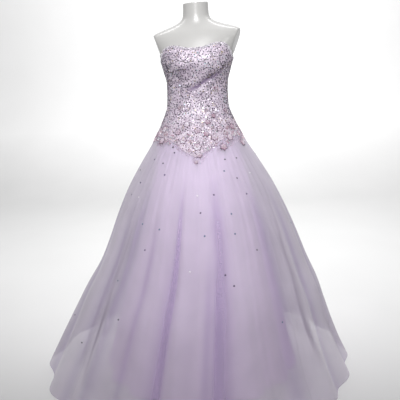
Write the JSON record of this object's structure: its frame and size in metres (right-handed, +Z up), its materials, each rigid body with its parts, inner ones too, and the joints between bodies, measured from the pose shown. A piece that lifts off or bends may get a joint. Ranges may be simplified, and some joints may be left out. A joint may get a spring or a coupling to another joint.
{
  "type": "evening gown on dress form",
  "caption": "Strapless beaded ball gown with a pointed dropped waist, net skirts over a satin lining and lace flowers at the hip, worn by a limbless dress form on a pole and a round base.",
  "frame": {"origin": "middle of the stand base's underside, on the floor", "axes": "+Z up; the gown's front faces -Y and the wearer's left is +X"},
  "size_m": [1.3577, 1.3489, 1.5513],
  "materials": {
    "beaded_bodice": "lilac-pink satin covered with sequins and small beads",
    "lining": "soft satin",
    "net": "fine sheer net",
    "lace": "corded lace with beads",
    "form": "glossy off-white",
    "stand": "satin",
    "zip": "tinted metal"
  },
  "bodies": {
    "gown_and_form": {"dress_form": "form", "stand_base": "stand", "stand_pole": "stand", "bodice_front": "beaded_bodice", "bodice_side_front_left": "beaded_bodice", "bodice_side_front_right": "beaded_bodice", "bodice_back_left": "beaded_bodice", "bodice_back_right": "beaded_bodice", "lining_front": "lining", "lining_left": "lining", "lining_back": "lining", "lining_right": "lining", "net_under_front": "net", "net_under_left": "net", "net_under_back": "net", "net_under_right": "net", "net_over_front": "net", "net_over_left": "net", "net_over_back": "net", "net_over_right": "net", "lace_flower_01": "lace", "lace_flower_02": "lace", "lace_flower_03": "lace", "lace_flower_04": "lace", "lace_flower_05": "lace", "lace_flower_06": "lace", "lace_flower_07": "lace", "lace_flower_08": "lace", "lace_flower_09": "lace", "lace_flower_10": "lace", "lace_flower_11": "lace", "lace_flower_12": "lace", "lace_flower_13": "lace", "lace_flower_14": "lace", "lace_flower_15": "lace", "lace_flower_16": "lace", "lace_flower_17": "lace", "lace_flower_18": "lace", "lace_flower_19": "lace", "lace_flower_20": "lace", "lace_flower_21": "lace", "lace_flower_22": "lace", "lace_flower_23": "lace", "lace_flower_24": "lace", "lace_flower_25": "lace", "lace_flower_26": "lace", "lace_flower_27": "lace", "lace_flower_28": "lace", "lace_flower_29": "lace", "lace_flower_30": "lace", "zip_chain": "zip", "zip_slider": "zip"},
    "pull_tab": {"zip_pull_tab": "zip"}
  },
  "joints": [
    {"name": "pull_tab_swing", "type": "hinge", "parent": "gown_and_form", "child": "pull_tab", "pos_m": [0.00333, 0.10541, 1.30153], "axis": [1, 0, 0], "range_deg": [0, 150]}
  ]
}
